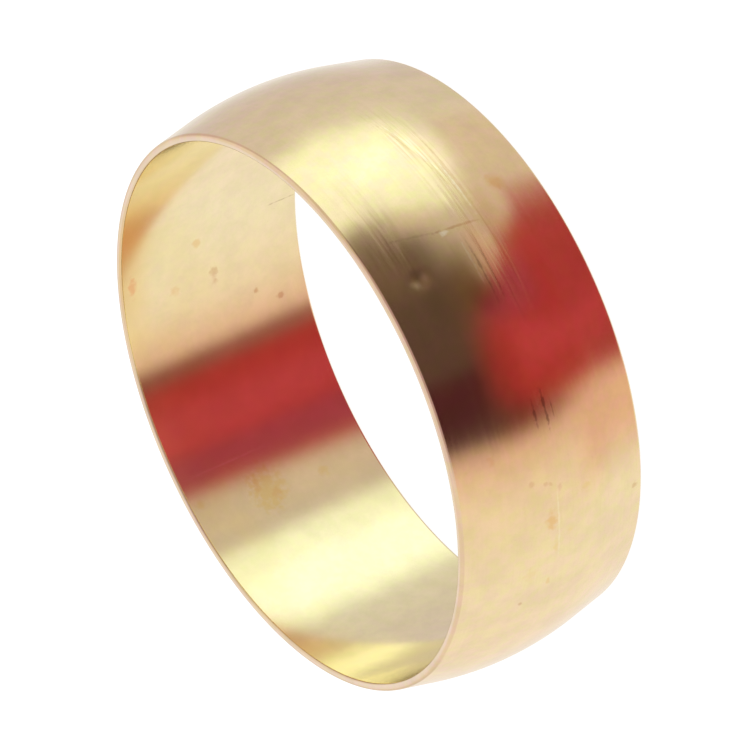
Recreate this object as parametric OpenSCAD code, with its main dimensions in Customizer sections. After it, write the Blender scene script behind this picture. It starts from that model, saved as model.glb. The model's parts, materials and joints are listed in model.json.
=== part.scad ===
// Compression olive: the soft brass sealing ring of a compression pipe fitting.
// It is turned in one piece. A straight bore slides over the pipe. Outside, a long
// shallow crest runs into a short conical flank and a thin, rounded rim at each end.
// The olive stands on one rim, with its axis along +Z and its origin at the centre
// of the lower end. All sizes are in millimetres.

/* [Bore] */
// Outside diameter of the pipe that the olive slides over
pipe_d = 22; // [20:0.5:28]
// Gap between the pipe and the bore, on the diameter
pipe_clearance = 0.1; // [0.06:0.02:0.2]

/* [Barrel] */
// Length of the olive along its axis
length = 8.4; // [7:0.1:10]
// Thickness of the wall under the crest, at mid-length
crest_wall = 0.91; // [0.8:0.01:1.1]
// Angle between each conical flank and the axis
flank_angle = 12; // [10:0.5:15]

/* [Rim] */
// Thickness of the wall at each end
rim_wall = 0.33; // [0.3:0.01:0.45]
// Rounding of the rim's outer edge
rim_radius = 0.16; // [0.1:0.01:0.2]
// Rounding of the bore's mouth
mouth_radius = 0.09; // [0.04:0.01:0.12]

/* [Quality] */
// Segments in a full turn
segments = 180; // [72:12:240]

/* [Hidden] */

brass = [0.86, 0.70, 0.46];

half_length = length / 2;
bore_r = (pipe_d + pipe_clearance) / 2;
rim_r = bore_r + rim_wall;
crest_r = bore_r + crest_wall;

// Centres of the rim's arc and the mouth's arc, as [radius, height above mid-length]
rim_centre = [rim_r - rim_radius, half_length - rim_radius];
mouth_centre = [bore_r + mouth_radius, half_length - mouth_radius];

// The flank is a straight line that touches the rim's arc. It is given by its normal and
// by its reach along that normal, and one crest arc touches it and reaches the crest.
flank_normal = [cos(flank_angle), sin(flank_angle)];
flank_reach = rim_centre * flank_normal + rim_radius;
crest_radius = (flank_reach - crest_r * flank_normal.x) / (1 - flank_normal.x);
crest_centre = [crest_r - crest_radius, 0];

// The flank's ends lie this far inside the two arcs, so that each pair meets in one edge
blend_overlap = 0.0001;
flank_foot = crest_centre + (crest_radius - blend_overlap) * flank_normal;
flank_top = rim_centre + (rim_radius - blend_overlap) * flank_normal;

// Upper half of the section without its arcs, from mid-length to the end
module half_core() {
    polygon([
        [bore_r, 0],
        [rim_r, 0],
        flank_foot,
        flank_top,
        rim_centre,
        [rim_centre.x, half_length],
        [mouth_centre.x, half_length],
        mouth_centre,
        [bore_r, mouth_centre.y]
    ]);
}

// The crest's arc, down to the depth of the rim
module crest_arc() {
    intersection() {
        translate(crest_centre)
            circle(r = crest_radius, $fn = segments);
        translate([rim_r, -half_length])
            square([crest_wall, length]);
    }
}

// Quarter of a disc, to round one outer corner
module quarter_disc(radius) {
    intersection() {
        circle(r = radius, $fn = segments / 3);
        square(radius);
    }
}

// Rounded edges of one end: the rim's, and the bore's mouth
module end_arcs() {
    translate(rim_centre)
        quarter_disc(rim_radius);
    translate(mouth_centre)
        mirror([1, 0])
            quarter_disc(mouth_radius);
}

// Repeats what is drawn for the upper end at the lower end
module both_ends() {
    children();
    mirror([0, 1])
        children();
}

// Section through the wall, from the bore to the outside
module wall_section() {
    both_ends() {
        half_core();
        end_arcs();
    }
    crest_arc();
}

module olive() {
    color(brass)
        translate([0, 0, half_length])
            rotate_extrude($fn = segments)
                wall_section();
}

olive();
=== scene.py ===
import json
import math

import bpy
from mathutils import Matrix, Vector


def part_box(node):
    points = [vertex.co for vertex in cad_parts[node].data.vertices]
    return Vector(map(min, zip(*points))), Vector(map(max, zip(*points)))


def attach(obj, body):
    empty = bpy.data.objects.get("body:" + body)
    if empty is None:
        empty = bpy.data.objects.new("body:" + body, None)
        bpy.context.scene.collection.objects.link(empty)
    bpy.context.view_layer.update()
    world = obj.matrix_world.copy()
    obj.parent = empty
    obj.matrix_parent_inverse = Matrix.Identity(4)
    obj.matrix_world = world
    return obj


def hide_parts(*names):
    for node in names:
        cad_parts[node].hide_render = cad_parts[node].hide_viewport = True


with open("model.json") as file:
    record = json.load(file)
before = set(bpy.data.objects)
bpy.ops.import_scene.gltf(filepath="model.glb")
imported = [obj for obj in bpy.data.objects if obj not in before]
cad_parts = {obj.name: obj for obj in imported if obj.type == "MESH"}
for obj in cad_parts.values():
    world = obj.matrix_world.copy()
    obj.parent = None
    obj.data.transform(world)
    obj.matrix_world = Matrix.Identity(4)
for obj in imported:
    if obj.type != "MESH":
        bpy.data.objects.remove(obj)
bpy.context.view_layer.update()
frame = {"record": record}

# The olive: a ring of soft brass, turned in one piece, with a straight bore, a long
# shallow crest, and a short cone and a thin rim at each end. One vertex walks round the
# section of the wall, which is then spun as on a lathe and pressed in at one small dent.
mm = 0.001
bore_mount = next(m for m in frame["record"]["mounts"] if m["name"] == "bore")
olive_floor, olive_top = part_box("olive")
olive_length = olive_top.z - olive_floor.z
half_length = olive_length / 2
bore_radius = bore_mount["dims"]["r_mm"] * mm
crest_wall = 0.91 * mm
rim_wall = 0.33 * mm
rim_rounding = 0.16 * mm
mouth_rounding = 0.09 * mm
flank_angle = math.radians(12)
crest_reach = bore_radius + crest_wall
rim_reach = bore_radius + rim_wall
turning_steps = 640
crest_steps = 40
flank_steps = 8
rim_steps = 10
mouth_steps = 6
bore_steps = 12
short_stride = 0.015 * mm
merge_gap = 0.0005 * mm
dent_bearing = math.radians(102.6)
dent_height = 6.85 * mm
dent_depth = 0.05 * mm
dent_spread = 0.52 * mm

rim_centre = Vector((rim_reach - rim_rounding, olive_length - rim_rounding))
mouth_centre = Vector((bore_radius + mouth_rounding, olive_length - mouth_rounding))
flank_normal = Vector((math.cos(flank_angle), math.sin(flank_angle)))
flank_reach = (rim_centre - Vector((0, half_length))).dot(flank_normal) + rim_rounding
crest_rounding = (flank_reach - crest_reach * flank_normal.x) / (1 - flank_normal.x)
crest_centre = Vector((crest_reach - crest_rounding, half_length))
flank_foot = crest_centre + crest_rounding * flank_normal
flank_end = rim_centre + rim_rounding * flank_normal


def walk_arc(centre_x, centre_z, turn, steps):
    bpy.ops.mesh.spin(steps=steps, angle=turn, center=(centre_x, 0, centre_z), axis=(0, 1, 0))


# A straight stretch begins and ends with a very short stride, so that the smooth shading
# of the arc beside it doesn't spread along it.
def walk_line(along_x, along_z, steps):
    short = short_stride / math.hypot(along_x, along_z)
    for share in (short, *[(1 - 2 * short) / steps] * steps, short):
        stride = (share * along_x, 0, share * along_z)
        bpy.ops.mesh.extrude_region_move(TRANSFORM_OT_translate={"value": stride})


bpy.ops.object.select_all(action="DESELECT")
bpy.ops.mesh.primitive_plane_add(size=mm, location=(0, 0, 0))
olive = bpy.context.object
olive.name = "olive_ring"
bpy.ops.object.mode_set(mode="EDIT")
bpy.ops.mesh.select_all(action="SELECT")
bpy.ops.mesh.merge(type="CENTER")
bpy.ops.transform.translate(value=(flank_foot.x, 0, olive_length - flank_foot.y))
walk_arc(crest_centre.x, crest_centre.y, 2 * flank_angle, crest_steps)
walk_line(flank_end.x - flank_foot.x, flank_end.y - flank_foot.y, flank_steps)
walk_arc(rim_centre.x, rim_centre.y, math.pi / 2 - flank_angle, rim_steps)
walk_line(mouth_centre.x - rim_centre.x, 0, 1)
walk_arc(mouth_centre.x, mouth_centre.y, math.pi / 2, mouth_steps)
walk_line(0, olive_length - 2 * mouth_centre.y, bore_steps)
walk_arc(mouth_centre.x, olive_length - mouth_centre.y, math.pi / 2, mouth_steps)
walk_line(rim_centre.x - mouth_centre.x, 0, 1)
walk_arc(rim_centre.x, olive_length - rim_centre.y, math.pi / 2 - flank_angle, rim_steps)
walk_line(flank_foot.x - flank_end.x, flank_end.y - flank_foot.y, flank_steps)
bpy.ops.mesh.select_all(action="SELECT")
bpy.ops.mesh.remove_doubles(threshold=merge_gap)
bpy.ops.mesh.spin(steps=turning_steps, angle=2 * math.pi, center=(0, 0, 0), axis=(0, 0, 1))
bpy.ops.mesh.select_all(action="SELECT")
bpy.ops.mesh.remove_doubles(threshold=merge_gap)
bpy.ops.mesh.normals_make_consistent(inside=False)
bpy.ops.mesh.select_all(action="DESELECT")
bpy.ops.object.mode_set(mode="OBJECT")
inward = Vector((-math.cos(dent_bearing), -math.sin(dent_bearing), 0))
dent_place = Vector((0, 0, dent_height)) - crest_reach * inward
dented = min(olive.data.vertices, key=lambda vertex: (vertex.co - dent_place).length)
dented.select = True
bpy.ops.object.mode_set(mode="EDIT")
bpy.ops.transform.translate(
    value=dent_depth * inward,
    use_proportional_edit=True,
    proportional_edit_falloff="SMOOTH",
    proportional_size=dent_spread,
)
bpy.ops.object.mode_set(mode="OBJECT")
bpy.ops.object.shade_smooth()

# Turned brass, in the ring's own coordinates. The outside is a little rougher and redder
# than the bore, and a fine mottling and golden clouds near one mouth break up the metal.
bore_brass = (0.87, 0.735, 0.485)
outside_brass = (0.86, 0.69, 0.435)
golden_brass = (0.88, 0.72, 0.33)
bore_roughness = 0.15
outside_roughness = 0.18
brass = bpy.data.materials.new("turned_brass")
brass.use_nodes = True
brass_tree = brass.node_tree
brass_shader = brass_tree.nodes["Principled BSDF"]
brass_shader.inputs["Metallic"].default_value = 1


def wire(tree, kind, inputs, **settings):
    node = tree.nodes.new("ShaderNode" + kind)
    for name, value in settings.items():
        setattr(node, name, value)
    for socket, value in inputs.items():
        if isinstance(value, bpy.types.NodeSocket):
            tree.links.new(value, node.inputs[socket])
        else:
            node.inputs[socket].default_value = value
    return node


def fade(tree, value, start, end, low=0.0, high=1.0):
    node = wire(
        tree,
        "MapRange",
        {"Value": value, "From Min": start, "From Max": end, "To Min": low, "To Max": high},
        interpolation_type="SMOOTHSTEP",
    )
    return node.outputs["Result"]


def times(tree, first, second):
    return wire(tree, "Math", {0: first, 1: second}, operation="MULTIPLY").outputs[0]


def band(tree, value, low, high, feather):
    rise = fade(tree, value, low - feather, low + feather)
    fall = fade(tree, value, high - feather, high + feather, 1.0, 0.0)
    return times(tree, rise, fall)


def mixed(tree, amount, first, second, blend="MIX"):
    node = wire(tree, "Mix", {}, data_type="RGBA", blend_type=blend)
    for name, value in (("Factor", amount), ("A", first), ("B", second)):
        if isinstance(value, bpy.types.NodeSocket):
            tree.links.new(value, node.inputs[name])
        elif isinstance(value, tuple):
            node.inputs[name].default_value = (*value, 1)
        else:
            node.inputs[name].default_value = value
    return node.outputs["Result"]


place = wire(brass_tree, "TexCoord", {}).outputs["Object"]


def grain(scale, detail, roughness=0.5):
    settings = {"Vector": place, "Scale": scale, "Detail": detail, "Roughness": roughness}
    return wire(brass_tree, "TexNoise", settings).outputs["Fac"]


axes = wire(brass_tree, "SeparateXYZ", {"Vector": place})
flat_place = wire(brass_tree, "VectorMath", {0: place, 1: (1, 1, 0)}, operation="MULTIPLY")
reach = wire(brass_tree, "VectorMath", {0: flat_place.outputs[0]}, operation="LENGTH")
height = times(brass_tree, axes.outputs["Z"], 1 / mm)
turn = wire(brass_tree, "Math", {0: axes.outputs["Y"], 1: axes.outputs["X"]}, operation="ARCTAN2")
bearing = times(brass_tree, turn.outputs[0], math.degrees(1))
outside_start = bore_radius + 0.02 * mm
outside_full = bore_radius + 0.2 * mm
outside = fade(brass_tree, reach.outputs["Value"], outside_start, outside_full)

metal = mixed(brass_tree, outside, bore_brass, outside_brass)
shade = fade(brass_tree, grain(700, 4, 0.65), 0.3, 0.7, 0.95, 1.04)
metal = mixed(brass_tree, 1.0, metal, shade, "MULTIPLY")
blush = fade(brass_tree, grain(2300, 2), 0.35, 0.65)
tinted = fade(brass_tree, outside, 0, 1, 0.45, 1.0)
tints = mixed(brass_tree, blush, (0.985, 1.01, 0.92), (1.015, 0.97, 1.04))
metal = mixed(brass_tree, tinted, metal, tints, "MULTIPLY")
near_mouth = fade(brass_tree, height, 3.5, 8.0, 0.1, 0.5)
golden = times(brass_tree, fade(brass_tree, grain(260, 3), 0.42, 0.68), near_mouth)
golden = times(brass_tree, golden, fade(brass_tree, outside, 0, 1, 1.0, 0.15))
metal = mixed(brass_tree, golden, metal, golden_brass)

# Stains, specks and scratches, with painted glints and thin painted reflection streaks among
# them: each is a blot at a bearing in degrees and a height in mm, so many mm long round the
# ring and tall along its axis, and some lean from that axis. Most have ragged edges, and a
# few wide ones are smooth.
ragged_edge = fade(brass_tree, grain(4000, 3), 0.3, 0.7, -0.4, 0.4)


def blot(side, bearing_deg, height_mm, along, tall, cover, lean=0, smooth=False):
    spin = math.radians(bearing_deg)
    spot = wire(
        brass_tree,
        "Mapping",
        {
            "Vector": place,
            "Location": (side * math.cos(spin), side * math.sin(spin), height_mm * mm),
            "Rotation": (math.radians(lean), 0, spin),
            "Scale": (mm, along / 2 * mm, tall / 2 * mm),
        },
        vector_type="TEXTURE",
    )
    far = wire(brass_tree, "VectorMath", {0: spot.outputs[0]}, operation="LENGTH").outputs["Value"]
    if not smooth:
        far = wire(brass_tree, "Math", {0: far, 1: ragged_edge}, operation="ADD").outputs[0]
    return fade(brass_tree, far, 1.3, 0.3, 0.0, cover)


orange = (0.80, 0.53, 0.24)
rust = (0.50, 0.22, 0.09)
yellow = (0.82, 0.64, 0.28)
dark = (0.20, 0.09, 0.06)
brown = (0.62, 0.40, 0.20)
amber = (0.86, 0.62, 0.25)
copper = (0.84, 0.50, 0.26)
# Painted glints: a pale colour that stands in for light caught on the edges of scratches and
# streaks.
painted_glint = (1.0, 0.93, 0.72)
outside_metal = metal
for colour, *spot in (
    (orange, crest_reach, 113.7, 1.85, 0.8, 0.9, 0.5, 0, True),
    (orange, crest_reach, 113.8, 1.95, 0.7, 0.6, 0.6),
    (orange, crest_reach, 50.4, 4.67, 0.9, 0.52, 0.6),
    (orange, crest_reach, 50.3, 4.66, 0.6, 0.36, 0.5),
    (yellow, crest_reach, 46.6, 3.85, 0.35, 0.35, 0.6),
    (yellow, crest_reach, 44.2, 4.5, 0.5, 0.26, 0.6),
    (yellow, crest_reach, 54.1, 3.0, 0.5, 0.4, 0.5),
    (yellow, crest_reach, 39.0, 5.6, 0.7, 0.6, 0.4),
    (orange, crest_reach, 35.9, 4.7, 0.4, 0.16, 0.5),
    (orange, crest_reach, 66.4, 6.85, 0.5, 0.3, 0.4),
    (rust, crest_reach, 59.3, 5.4, 0.22, 0.22, 0.22),
    (rust, crest_reach, 58.3, 4.84, 0.22, 0.24, 0.22),
    (rust, crest_reach, 57.8, 4.58, 0.2, 0.18, 0.22),
    (rust, crest_reach, 56.6, 4.22, 0.3, 0.24, 0.18),
    (rust, crest_reach, 32.2, 5.8, 0.2, 0.16, 0.35),
    (rust, rim_reach, 47.6, 0.45, 0.3, 0.3, 0.35),
    # Painted reflection streaks: three dark lines of painted shade and a painted glint.
    (dark, crest_reach, 72.3, 4.2, 1.5, 0.14, 0.6),
    (painted_glint, crest_reach, 73.6, 4.45, 1.2, 0.11, 0.3),
    (dark, crest_reach, 71.3, 3.9, 0.8, 0.08, 0.35),
    (dark, crest_reach, 71.9, 4.68, 0.9, 0.12, 0.5),
    # A painted glint.
    (painted_glint, crest_reach, 49.5, 4.35, 2.9, 0.09, 0.25),
    # Painted reflection streaks: brown lines of painted shade, each with a painted glint.
    (brown, crest_reach, 126.6, 4.0, 4.4, 0.08, 0.3, 8.8),
    (painted_glint, crest_reach, 127.0, 3.87, 4.6, 0.07, 0.3, 8.8),
    (brown, crest_reach, 121.8, 3.3, 4.0, 0.09, 0.35),
    (painted_glint, crest_reach, 115.3, 3.44, 2.4, 0.09, 0.45),
    # The nick: a brown and dark scratch, with a painted glint on its raised edge.
    (brown, crest_reach, 108.3, 4.25, 0.13, 2.0, 0.65, -7),
    (dark, crest_reach, 109.9, 6.1, 0.14, 2.2, 0.14, -15),
    (painted_glint, crest_reach, 108.2, 5.05, 0.26, 0.3, 0.9),
    (copper, crest_reach, 102.6, 4.1, 2.8, 1.1, 0.38, 0, True),
    (dark, crest_reach, 95.0, 4.8, 1.7, 1.4, 0.34, 0, True),
    # Painted reflection streaks: two dark lines of painted shade and a painted glint.
    (dark, crest_reach, 99.6, 4.45, 2.3, 0.1, 0.4),
    (dark, crest_reach, 98.6, 4.12, 1.9, 0.08, 0.35),
    (painted_glint, crest_reach, 101.0, 4.64, 1.8, 0.1, 0.4),
    (dark, rim_reach, 113.8, 7.85, 1.9, 1.1, 0.26, 0, True),
):
    outside_metal = mixed(brass_tree, blot(*spot), outside_metal, colour)
bore_metal = metal
for colour, *spot in (
    (yellow, bore_radius, -77.5, 4.95, 1.9, 1.5, 0.8),
    (orange, bore_radius, -79.0, 5.3, 0.5, 0.35, 0.5),
    (orange, bore_radius, -76.0, 4.7, 0.5, 0.4, 0.45),
    (yellow, bore_radius, -76.4, 2.4, 0.5, 0.4, 0.6),
    (yellow, bore_radius, -80.0, 7.9, 0.4, 0.4, 0.6),
    (orange, bore_radius, -133.1, 4.8, 0.4, 0.34, 0.55),
    (amber, bore_radius, -135, 8.2, 8, 2.4, 0.5, 0, True),
    (rust, bore_radius, -124.3, 4.1, 0.66, 0.42, 0.36),
    (orange, bore_radius, -124.0, 6.0, 0.4, 0.5, 0.4),
    (rust, bore_radius, -116.7, 2.32, 0.2, 0.24, 0.45),
    (rust, bore_radius, -113.6, 1.29, 0.24, 0.3, 0.45),
    (copper, bore_radius, -129.3, 7.9, 0.9, 0.36, 0.9),
    (dark, bore_radius, -135.0, 0.75, 0.08, 1.1, 0.3),
    # A painted glint along the bore.
    (painted_glint, bore_radius, -86.0, 6.0, 0.07, 4.6, 0.5),
):
    bore_metal = mixed(brass_tree, blot(*spot), bore_metal, colour)
metal = mixed(brass_tree, outside, bore_metal, outside_metal)

# Turning streaks round the outside, in one belt below the crest and a fainter one beside
# the rim. They tip the metal a little to left and right as well as up and down, and the
# deepest are painted a shade browner, partly a tint of the grooves and partly painted shade
# where the mirrored lamp breaks into streaks.
streak_depth = 0.0025 * mm
streak_tip = 0.06
streak_roughness = 0.12
streak_brown_and_painted_shade = (0.80, 0.72, 0.58)
rim_belt_share = 0.5
crest_belt = times(
    brass_tree, band(brass_tree, height, 3.1, 4.4, 0.4), band(brass_tree, bearing, 90, 137, 8)
)
rim_belt = times(
    brass_tree, band(brass_tree, height, 6.5, 7.8, 0.4), band(brass_tree, bearing, 104, 127, 6)
)
belts = wire(
    brass_tree, "Math", {0: rim_belt, 1: rim_belt_share, 2: crest_belt}, operation="MULTIPLY_ADD"
)
worn = fade(brass_tree, belts.outputs[0], 0, 1, 0.1, 1.0)
worn = times(brass_tree, worn, outside)


def streaks(across, up, detail):
    squeezed = wire(brass_tree, "Mapping", {"Vector": place, "Scale": (across, across, up)})
    settings = {"Vector": squeezed.outputs[0], "Scale": 1, "Detail": detail}
    return wire(brass_tree, "TexNoise", settings).outputs["Fac"]


long_streaks = streaks(300, 6000, 3)
short_streaks = streaks(520, 8500, 2)
fine_streaks = streaks(240, 11000, 2)
# Partly painted shade: the browner tint darkens the streaks where the mirrored lamp breaks up.
streak_tint_and_painted_shade = times(brass_tree, fade(brass_tree, fine_streaks, 0.45, 0.68, 0.0, 0.5), worn)
metal = mixed(brass_tree, streak_tint_and_painted_shade, metal, streak_brown_and_painted_shade, "MULTIPLY")
brass_tree.links.new(metal, brass_shader.inputs["Base Color"])
sideways = wire(
    brass_tree, "MapRange", {"Value": short_streaks, "To Min": -streak_tip, "To Max": streak_tip}
)
sideways = times(brass_tree, sideways.outputs["Result"], worn)
around = wire(brass_tree, "VectorMath", {0: place, 1: (0, 0, 1)}, operation="CROSS_PRODUCT")
around = wire(brass_tree, "VectorMath", {0: around.outputs[0]}, operation="NORMALIZE")
tip = wire(brass_tree, "VectorMath", {0: around.outputs[0], "Scale": sideways}, operation="SCALE")
straight = wire(brass_tree, "NewGeometry", {})
tipped = wire(
    brass_tree,
    "VectorMath",
    {0: straight.outputs["Normal"], 1: tip.outputs[0]},
    operation="ADD",
)
tipped = wire(brass_tree, "VectorMath", {0: tipped.outputs[0]}, operation="NORMALIZE")
streak_rise = times(brass_tree, long_streaks, worn)
bump = wire(
    brass_tree,
    "Bump",
    {"Height": streak_rise, "Distance": streak_depth, "Strength": 1.0, "Normal": tipped.outputs[0]},
)
brass_tree.links.new(bump.outputs["Normal"], brass_shader.inputs["Normal"])
smooth_metal = fade(brass_tree, outside, 0, 1, bore_roughness, outside_roughness)
rough_streaks = times(brass_tree, fade(brass_tree, long_streaks, 0.45, 0.7), worn)
roughness = wire(
    brass_tree,
    "Math",
    {0: rough_streaks, 1: streak_roughness, 2: smooth_metal},
    operation="MULTIPLY_ADD",
)
brass_tree.links.new(roughness.outputs[0], brass_shader.inputs["Roughness"])
olive.data.materials.append(brass)

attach(olive, "root")
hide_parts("olive")

# The floor: a wide sheet of white studio paper under the ring. The camera sees it lit
# up to white, and it still takes the ring's soft shadow. The brass doesn't mirror it,
# so that the surroundings below it can shape the reflections.
floor_size = 4
paper_colour = (0.3, 0.3, 0.3, 1)
paper_glow = 0.87
bpy.ops.object.select_all(action="DESELECT")
bpy.ops.mesh.primitive_plane_add(size=floor_size, location=(0, 0, olive_floor.z))
floor = bpy.context.object
floor.name = "floor"
floor.visible_glossy = False
paper = bpy.data.materials.new("studio_paper")
paper.use_nodes = True
paper_tree = paper.node_tree
paper_shader = paper_tree.nodes["Principled BSDF"]
paper_shader.inputs["Base Color"].default_value = paper_colour
paper_shader.inputs["Roughness"].default_value = 1
paper_shader.inputs["Specular IOR Level"].default_value = 0
paper_rays = wire(paper_tree, "LightPath", {})
seen_glow = times(paper_tree, paper_rays.outputs["Is Camera Ray"], paper_glow)
paper_shader.inputs["Emission Color"].default_value = (1, 1, 1, 1)
paper_tree.links.new(seen_glow, paper_shader.inputs["Emission Strength"])
floor.data.materials.append(paper)

# The surroundings: a tube of painted card round the ring, seen by the brass alone. A
# bearing on it is in degrees round the ring from the side that faces away from the
# camera, and a rise is in degrees above the ring.
card_reach = 0.15
card_bottom = -75
card_top = 60
card_facets = 128
low_end = card_reach * math.tan(math.radians(card_bottom))
high_end = card_reach * math.tan(math.radians(card_top))
card_middle = (high_end + low_end) / 2
bpy.ops.object.select_all(action="DESELECT")
bpy.ops.mesh.primitive_cylinder_add(
    vertices=card_facets,
    radius=card_reach,
    depth=high_end - low_end,
    end_fill_type="NOTHING",
    location=(0, 0, half_length + card_middle),
    rotation=(0, 0, math.pi / 2),
)
card = bpy.context.object
card.name = "surroundings"
card.visible_camera = False
card.visible_diffuse = False
card.visible_shadow = False
card.visible_transmission = False

# The card glows with its own paint. It isn't sampled as a lamp, because only the brass's
# mirrored rays meet it, and they find it by themselves.
cover = bpy.data.materials.new("painted_card")
cover.cycles.emission_sampling = "NONE"
cover.use_nodes = True
card_tree = cover.node_tree
card_tree.nodes.clear()
card_place = wire(card_tree, "TexCoord", {}).outputs["Object"]
card_turn = wire(card_tree, "TexGradient", {"Vector": card_place}, gradient_type="RADIAL")
card_bearing = times(card_tree, card_turn.outputs["Fac"], 360)
card_axes = wire(card_tree, "SeparateXYZ", {"Vector": card_place})
card_height = wire(
    card_tree, "Math", {0: card_axes.outputs["Z"], 1: card_middle}, operation="ADD"
)
card_slope = times(card_tree, card_height.outputs[0], 1 / card_reach)
card_tilt = wire(card_tree, "Math", {0: card_slope}, operation="ARCTANGENT")
card_rise = times(card_tree, card_tilt.outputs[0], math.degrees(1))
wall_paint = wire(card_tree, "ValToRGB", {"Fac": card_turn.outputs["Fac"]})
wall_tones = (
    (0, (1.0, 1.0, 1.0)),
    (20, (0.98, 0.94, 0.91)),
    (40, (1.0, 0.95, 0.90)),
    (80, (1.0, 1.0, 0.94)),
    (98, (1.0, 0.98, 0.90)),
    (120, (0.96, 0.88, 0.76)),
    (136, (0.87, 0.62, 0.53)),
    (150, (0.86, 0.59, 0.47)),
    (270, (0.83, 0.86, 0.81)),
    (282, (0.78, 0.78, 0.74)),
    (296, (0.75, 0.73, 0.72)),
    (312, (0.72, 0.67, 0.70)),
    (326, (0.75, 0.72, 0.75)),
    (342, (0.94, 0.95, 0.96)),
)
wall_ramp = wall_paint.color_ramp.elements
wall_ramp[0].position = 0
wall_ramp[0].color = (*wall_tones[0][1], 1)
wall_ramp[1].position = 1
wall_ramp[1].color = (*wall_tones[0][1], 1)
for tone_bearing, tone in wall_tones[1:]:
    stop = wall_ramp.new(tone_bearing / 360)
    stop.color = (*tone, 1)


# A patch of paint lies between two bearings and two rises, with soft edges. Its sides may
# lean, by so many degrees of bearing for each degree of rise, and its bearings are then
# those at this rise.
lean_level = -30


def painted(paint, colour, bearings, rises, side_feather, end_feather, lean=(0, 0)):
    edges = []
    for edge_lean in lean:
        slant = wire(
            card_tree,
            "Math",
            {0: card_rise, 1: -edge_lean, 2: card_bearing},
            operation="MULTIPLY_ADD",
        )
        edges.append(slant.outputs[0])
    left = bearings[0] - lean_level * lean[0]
    right = bearings[1] - lean_level * lean[1]
    rise = fade(card_tree, edges[0], left - side_feather, left + side_feather)
    fall = fade(card_tree, edges[1], right - side_feather, right + side_feather, 1.0, 0.0)
    across = times(card_tree, rise, fall)
    up = band(card_tree, card_rise, *rises, end_feather)
    return mixed(card_tree, times(card_tree, across, up), paint, colour)


wall = wall_paint.outputs["Color"]
for patch in (
    ((0.91, 0.83, 0.85), (-90, 450), (3, 95), 5, 7),
    ((0.79, 0.72, 0.70), (-90, 50), (-14, 14), 8, 4),
    ((0.79, 0.72, 0.70), (335, 450), (-14, 14), 8, 4),
    ((0.96, 0.93, 1.08), (-90, 22), (20, 36), 6, 4),
    ((0.96, 0.93, 1.08), (338, 450), (20, 36), 6, 4),
    ((0.69, 0.57, 0.58), (262, 324), (-7, 24), 8, 6),
):
    wall = painted(wall, *patch)
paint = wall
for patch in (
    ((0.875, 0.59, 0.505), (106, 150), (-90, -36.6), 14, 6.8),
    ((0.75, 0.665, 0.592), (146.4, 260.7), (-90, 90), 2, 3),
    ((0.60, 0.43, 0.33), (190, 229), (-48, -32.4), 5, 2.1),
    ((0.757, 0.677, 0.615), (212.1, 275.6), (-90, -39.2), 7, 2.8),
    ((0.147, 0.093, 0.031), (144.3, 214.5), (-23.7, 90), 10.4, 3.2, (0.04, -0.5)),
    ((0.456, 0.038, 0.041), (144.2, 199.9), (-90, -8.2), 6, 2.6, (0.11, -1.18)),
    ((0.442, 0.052, 0.066), (144, 233.8), (-90, -47.7), 4.8, 4.3),
    ((0.54, 0.062, 0.087), (159.4, 177.1), (-60, -19.7), 6.7, 5.8, (0, 0.24)),
    ((0.384, 0.053, 0.094), (179.3, 194.9), (-40.8, -10), 4.1, 5, (-0.13, -0.71)),
    ((0.527, 0.049, 0.047), (154.6, 178.6), (-22.3, -11.6), 5.8, 3.8),
    ((0.647, 0.584, 0.55), (214.7, 226.5), (-32.9, -20), 3.8, 3),
    ((0.167, 0.005, 0.005), (140.6, 146.2), (-40.8, -5.4), 5.6, 7.7, (0.02, 0.49)),
    ((0.10, 0.064, 0.052), (144.6, 221.4), (-14.1, 25), 3.9, 9.1, (0, -0.11)),
    ((0.06, 0.01, 0.018), (143.6, 168.4), (-9.5, 25), 1.5, 4.5),
    ((0.34, 0.03, 0.035), (153, 173), (-20, -12), 5, 5),
    ((0.172, 0.112, 0.082), (200.3, 229.1), (-5.9, 25), 6.6, 5.1),
    ((0.53, 0.37, 0.44), (137.6, 222), (11.5, 62), 8, 8.5),
):
    paint = painted(paint, *patch)

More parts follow.
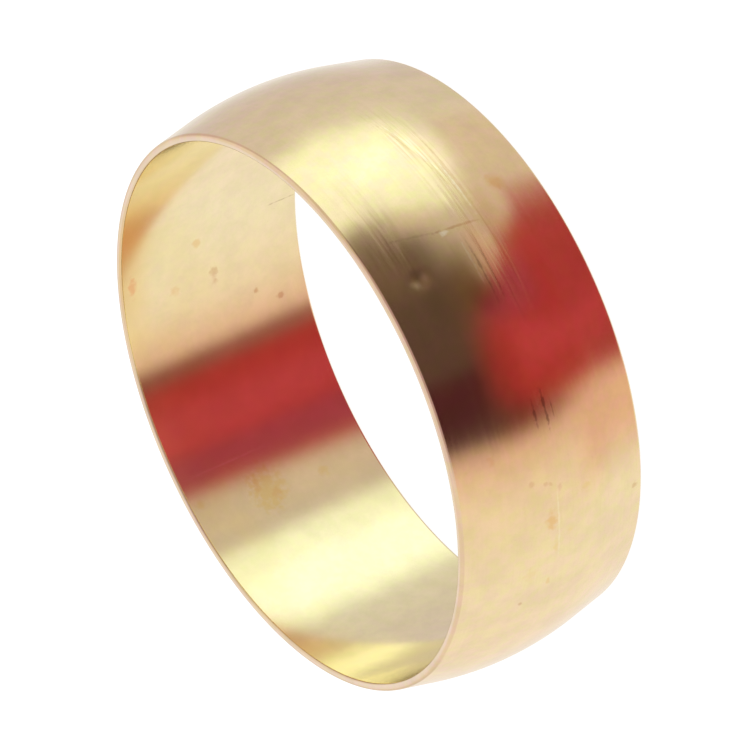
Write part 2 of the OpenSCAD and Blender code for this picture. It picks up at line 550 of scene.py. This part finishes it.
# Light that bounces between two places in the bore meets mostly the plain wall, but the
# bright lamp is painted over both. The more often it bounces, the more its colour is
# lifted, so that the deep reflections don't turn too dark and yellow.
plain_share = 0.75
lamp_paint = (1.14, 1.30, 1.09)
lamp_middle = (1.33, 1.495, 1.43)
bounce_lift = (1.15, 1.3, 1.35)
card_rays = wire(card_tree, "LightPath", {})
glossy_depth = card_rays.outputs["Glossy Depth"]
twice_mirrored = fade(card_tree, glossy_depth, 1.4, 1.6, 0.0, plain_share)
paint = mixed(card_tree, twice_mirrored, paint, wall)
paint = painted(paint, lamp_paint, (223.8, 270.4), (-32.8, -1.6), 5.2, 3.6, (0.26, 0.09))
paint = painted(paint, lamp_middle, (239, 262.8), (-36.2, -4.9), 7.2, 5.3)
often_mirrored = fade(card_tree, glossy_depth, 1, 3)
paint = mixed(card_tree, often_mirrored, paint, bounce_lift, "MULTIPLY")
card_glow = wire(card_tree, "Emission", {"Color": paint, "Strength": 1.0})
wire(card_tree, "OutputMaterial", {"Surface": card_glow.outputs[0]})
card.data.materials.append(cover)

# The room: an even white light from all round, which the brass mirrors a little darker
# and pinker than it shines on the paper.
room_white = (1.0, 1.0, 1.0)
room_in_brass = (0.86, 0.78, 0.92)
room = bpy.data.worlds.new("studio_room")
bpy.context.scene.world = room
room.use_nodes = True
room_tree = room.node_tree
room_tree.nodes.clear()
room_rays = wire(room_tree, "LightPath", {})
room_tone = mixed(room_tree, room_rays.outputs["Is Glossy Ray"], room_white, room_in_brass)
room_light = wire(room_tree, "Background", {"Color": room_tone, "Strength": 1.0})
wire(room_tree, "OutputWorld", {"Surface": room_light.outputs[0]})

# The camera: a long lens that looks down on the ring, turned on its side, so that the
# ring's open end faces left and its crest runs up the right.
picture_width = 756
camera_azimuth = math.radians(90)
camera_elevation = math.radians(27.55)
camera_roll = math.radians(-114.06)
camera_distance = 281.9 * mm
focal_length = 350.9
sensor_width = 36
nearest_seen = 0.01
ring_left_of_middle = 4.08
ring_above_middle = 2.9
pixel = camera_distance * sensor_width / focal_length / picture_width
camera_lens = bpy.data.cameras.new("camera")
camera_lens.sensor_fit = "HORIZONTAL"
camera_lens.sensor_width = sensor_width
camera_lens.lens = focal_length
camera_lens.clip_start = nearest_seen
camera = bpy.data.objects.new("camera", camera_lens)
bpy.context.scene.collection.objects.link(camera)
camera.rotation_euler = (math.pi / 2 - camera_elevation, 0, camera_azimuth + math.pi / 2)
camera.rotation_euler.rotate_axis("Z", camera_roll)
camera_axes = camera.rotation_euler.to_matrix()
camera.location = Vector((0, 0, half_length)) + camera_axes @ Vector((
    ring_left_of_middle * pixel,
    -ring_above_middle * pixel,
    camera_distance,
))
bpy.context.scene.camera = camera
bpy.context.scene.view_settings.view_transform = "Standard"
